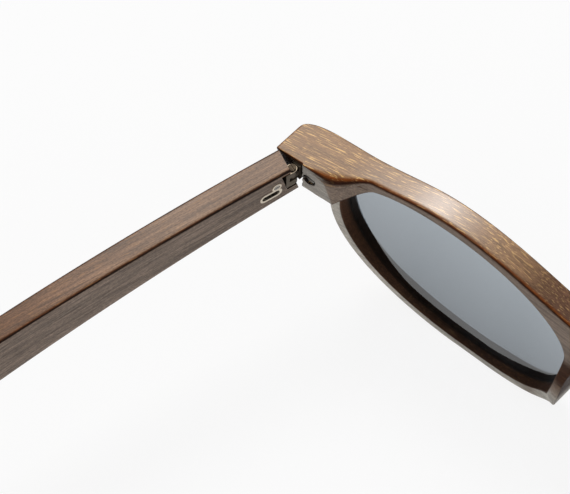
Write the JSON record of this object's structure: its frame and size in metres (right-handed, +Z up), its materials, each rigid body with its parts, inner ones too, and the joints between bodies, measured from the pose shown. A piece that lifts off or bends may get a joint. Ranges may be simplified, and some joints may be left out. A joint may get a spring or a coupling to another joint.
{
  "type": "wooden sunglasses",
  "caption": "Wooden sunglasses with tinted lenses and a carved nose bridge. The temples fold on sprung hinges and are shown flexed outwards.",
  "frame": {"origin": "middle of the bottom of the part's box, on the plane that the rims and temple tips stand on", "axes": "+X to the wearer's left, across the front; +Y from the front towards the temple tips; +Z up"},
  "size_m": [0.1826, 0.1502, 0.0407],
  "materials": {
    "front_wood": "varnished, darker and orange on the rounded edges",
    "temple_wood": "satin, fine straight grain",
    "lens": "grey tint, polished",
    "hinge_metal": "satin",
    "housing_metal": "satin",
    "screw_metal": "bright",
    "spring_steel": "bright"
  },
  "bodies": {
    "front": {"front_frame": "front_wood", "left_lens": "lens", "right_lens": "lens", "left_hinge_plate": "hinge_metal", "right_hinge_plate": "hinge_metal", "left_plate_screw": "screw_metal", "right_plate_screw": "screw_metal"},
    "left_slider": {"left_hinge_slider": "hinge_metal", "left_hinge_pin": "screw_metal", "left_slider_collar": "hinge_metal", "left_hinge_spring": "spring_steel"},
    "left_arm": {"left_temple": "temple_wood", "left_hinge_housing": "housing_metal", "left_housing_screw": "screw_metal"},
    "right_slider": {"right_hinge_slider": "hinge_metal", "right_hinge_pin": "screw_metal", "right_slider_collar": "hinge_metal", "right_hinge_spring": "spring_steel"},
    "right_arm": {"right_temple": "temple_wood", "right_hinge_housing": "housing_metal", "right_housing_screw": "screw_metal"}
  },
  "joints": [
    {"name": "left_temple_fold", "type": "hinge", "parent": "front", "child": "left_slider", "pos_m": [0.0668, -0.05978, 0.034], "axis": [0, 0, 1], "range_deg": [0, 100]},
    {"name": "left_spring_slide", "type": "slide", "parent": "left_slider", "child": "left_arm", "axis": [-0.2419, -0.9703, 0], "range_m": [0, 0.0008], "deforming": ["left_hinge_spring"]},
    {"name": "right_temple_fold", "type": "hinge", "parent": "front", "child": "right_slider", "pos_m": [-0.0668, -0.05978, 0.034], "axis": [0, 0, -1], "range_deg": [0, 91.5]},
    {"name": "right_spring_slide", "type": "slide", "parent": "right_slider", "child": "right_arm", "axis": [0.2419, -0.9703, 0], "range_m": [0, 0.0008], "deforming": ["right_hinge_spring"]}
  ],
  "couplings": [
    {"joint": "left_spring_slide", "follows": "left_temple_fold", "m_per_rad": 0.0004526},
    {"joint": "right_spring_slide", "follows": "right_temple_fold", "m_per_rad": 0.0004947}
  ]
}
